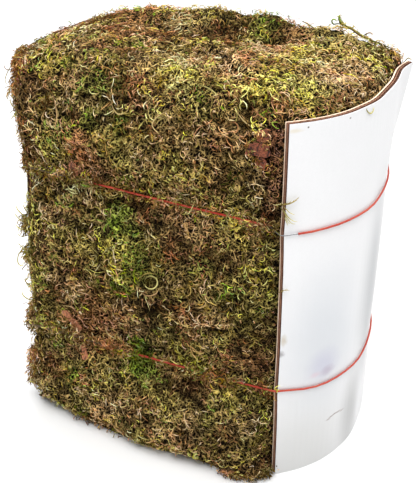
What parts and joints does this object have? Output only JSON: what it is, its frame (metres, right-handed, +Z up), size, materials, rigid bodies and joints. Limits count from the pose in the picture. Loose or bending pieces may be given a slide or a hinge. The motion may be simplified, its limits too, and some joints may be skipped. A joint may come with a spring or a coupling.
{
  "type": "pressed moss bale",
  "caption": "Upright bale of pressed dried sheet moss, held between bent white corrugated end boards and tied round with coated wires.",
  "frame": {"origin": "centre of the bale's bounding box, on the plane that it stands on", "axes": "+Z up, -Y towards the moss face that the picture shows, +X towards the end board that the picture shows"},
  "size_m": [0.3928, 0.2628, 0.4387],
  "materials": {
    "pressed_moss": "matt, fibrous, mixed olive, yellow-green and brown",
    "end_board_right": "satin white paper liner on corrugated board",
    "end_board_left": "satin white paper liner on corrugated board",
    "tie_wire_lower": "red coated wire",
    "tie_wire_upper": "red coated wire",
    "tie_wire_upper_core": "bare drawn wire",
    "bark_flake_upper_main": "rough reddish bark",
    "bark_flake_upper_top": "rough reddish bark",
    "bark_flake_upper_side": "rough reddish bark",
    "bark_flake_upper_lower": "rough reddish bark",
    "bark_flake_left_upper": "rough reddish bark",
    "bark_flake_left_middle": "rough reddish bark",
    "bark_flake_left_lower": "rough reddish bark",
    "loose_stem": "matt dry stem"
  },
  "bodies": {
    "root": {"pressed_moss": "pressed_moss", "end_board_right": "end_board_right", "end_board_left": "end_board_left", "tie_wire_lower": "tie_wire_lower", "tie_wire_upper": "tie_wire_upper", "tie_wire_upper_core": "tie_wire_upper_core", "bark_flake_upper_main": "bark_flake_upper_main", "bark_flake_upper_top": "bark_flake_upper_top", "bark_flake_upper_side": "bark_flake_upper_side", "bark_flake_upper_lower": "bark_flake_upper_lower", "bark_flake_left_upper": "bark_flake_left_upper", "bark_flake_left_middle": "bark_flake_left_middle", "bark_flake_left_lower": "bark_flake_left_lower", "loose_stem": "loose_stem"}
  },
  "joints": []
}
